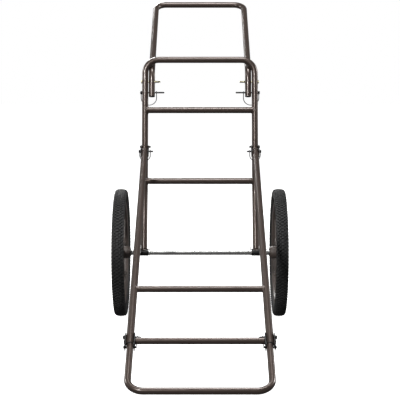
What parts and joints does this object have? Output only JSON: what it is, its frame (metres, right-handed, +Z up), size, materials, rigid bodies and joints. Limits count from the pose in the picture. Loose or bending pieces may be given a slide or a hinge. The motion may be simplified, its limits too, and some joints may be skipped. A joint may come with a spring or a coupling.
{
  "type": "game cart",
  "caption": "Two-wheeled folding game cart: bent tube upright with axle, sloping tube bed, front foot loop and pull handle, held by wire lock pins.",
  "frame": {"origin": "centre of the footprint, on the ground", "axes": "+X to the right and along the axle, -Y towards the front foot, +Y towards the handle, +Z up"},
  "size_m": [0.6974, 1.8994, 1.2894],
  "materials": {
    "bronze_coat": "bronze-brown powder coat",
    "black_steel": "black coated steel",
    "tyre_rubber": "knobbly black rubber",
    "wheel_plastic": "moulded dark brown-grey plastic",
    "bush_plastic": "black nylon",
    "zinc": "bright zinc plate",
    "yellow_zinc": "yellow zinc plate",
    "spring_wire": "dark sprung steel wire",
    "plug_plastic": "black plastic"
  },
  "bodies": {
    "upright": {"upright_frame": "bronze_coat", "upper_crossbar": "bronze_coat", "middle_crossbar": "bronze_coat", "axle": "zinc", "axle_sleeve_left": "black_steel", "axle_sleeve_right": "black_steel", "hinge_bracket_left": "black_steel", "hinge_bracket_right": "black_steel", "bracket_bolt_left": "black_steel", "bracket_bolt_right": "black_steel", "handle_bolt_left": "yellow_zinc", "handle_bolt_right": "yellow_zinc", "handle_push_nut_left": "yellow_zinc", "handle_push_nut_right": "yellow_zinc", "axle_washer_left": "zinc", "axle_washer_right": "zinc", "axle_cap_left": "black_steel", "axle_cap_right": "black_steel"},
    "handle": {"handle_frame": "bronze_coat", "handle_plug_left": "plug_plastic", "handle_plug_right": "plug_plastic"},
    "bed": {"bed_rail_left": "bronze_coat", "bed_rail_right": "bronze_coat", "bed_crossbar": "bronze_coat", "bed_rail_plug_left": "plug_plastic", "bed_rail_plug_right": "plug_plastic"},
    "foot": {"foot_frame": "bronze_coat", "foot_crossbar": "bronze_coat", "foot_bracket_left": "black_steel", "foot_bracket_right": "black_steel", "foot_bolt_left": "black_steel", "foot_bolt_right": "black_steel"},
    "wheel_left": {"tyre_left": "tyre_rubber", "wheel_left": "wheel_plastic", "inner_bush_left": "bush_plastic", "outer_bush_left": "bush_plastic"},
    "handle_lock_left": {"handle_lock_pin_left": "black_steel", "handle_bail_left": "spring_wire"},
    "bed_lock_left": {"bed_pin_left": "black_steel", "bed_pin_bail_left": "spring_wire"},
    "foot_lock_left": {"foot_pin_left": "black_steel", "foot_pin_bail_left": "spring_wire"},
    "axle_clip_left": {"hairpin_left": "zinc"},
    "wheel_right": {"tyre_right": "tyre_rubber", "wheel_right": "wheel_plastic", "inner_bush_right": "bush_plastic", "outer_bush_right": "bush_plastic"},
    "handle_lock_right": {"handle_lock_pin_right": "black_steel", "handle_bail_right": "spring_wire"},
    "bed_lock_right": {"bed_pin_right": "black_steel", "bed_pin_bail_right": "spring_wire"},
    "foot_lock_right": {"foot_pin_right": "black_steel", "foot_pin_bail_right": "spring_wire"},
    "axle_clip_right": {"hairpin_right": "zinc"}
  },
  "joints": [
    {"name": "handle_fold", "type": "hinge", "parent": "upright", "child": "handle", "pos_m": [0, 0.41213, 0.93505], "axis": [-1, 0, 0], "range_deg": [0, 128]},
    {"name": "bed_fold", "type": "hinge", "parent": "upright", "child": "bed", "pos_m": [0, 0.32993, 0.65458], "axis": [-1, 0, 0], "range_deg": [0, 126]},
    {"name": "foot_fold", "type": "hinge", "parent": "bed", "child": "foot", "pos_m": [0, -0.71312, 0.12541], "axis": [1, 0, 0], "range_deg": [0, 85]},
    {"name": "wheel_spin_left", "type": "hinge", "parent": "upright", "child": "wheel_left", "pos_m": [-0.316, 0.23309, 0.25505], "axis": [1, 0, 0], "continuous": true},
    {"name": "handle_bail_swing_left", "type": "hinge", "parent": "upright", "child": "handle_lock_left", "pos_m": [0, 0.4039, 0.89132], "axis": [-1, 0, 0], "range_deg": [-138, 0]},
    {"name": "bed_bail_swing_left", "type": "hinge", "parent": "upright", "child": "bed_lock_left", "pos_m": [0, 0.32993, 0.65458], "axis": [1, 0, 0], "range_deg": [-18, 10]},
    {"name": "foot_bail_swing_left", "type": "hinge", "parent": "foot", "child": "foot_lock_left", "pos_m": [0, -0.71312, 0.12541], "axis": [1, 0, 0], "range_deg": [-14, 60]},
    {"name": "axle_clip_lift_left", "type": "slide", "parent": "upright", "child": "axle_clip_left", "axis": [0, 0, 1], "range_m": [0, 0.04]},
    {"name": "wheel_spin_right", "type": "hinge", "parent": "upright", "child": "wheel_right", "pos_m": [0.316, 0.23309, 0.25505], "axis": [1, 0, 0], "continuous": true},
    {"name": "handle_bail_swing_right", "type": "hinge", "parent": "upright", "child": "handle_lock_right", "pos_m": [0, 0.4039, 0.89132], "axis": [-1, 0, 0], "range_deg": [-138, 0]},
    {"name": "bed_bail_swing_right", "type": "hinge", "parent": "upright", "child": "bed_lock_right", "pos_m": [0, 0.32993, 0.65458], "axis": [1, 0, 0], "range_deg": [-18, 10]},
    {"name": "foot_bail_swing_right", "type": "hinge", "parent": "foot", "child": "foot_lock_right", "pos_m": [0, -0.71312, 0.12541], "axis": [1, 0, 0], "range_deg": [-14, 60]},
    {"name": "axle_clip_lift_right", "type": "slide", "parent": "upright", "child": "axle_clip_right", "axis": [0, 0, 1], "range_m": [0, 0.04]}
  ]
}
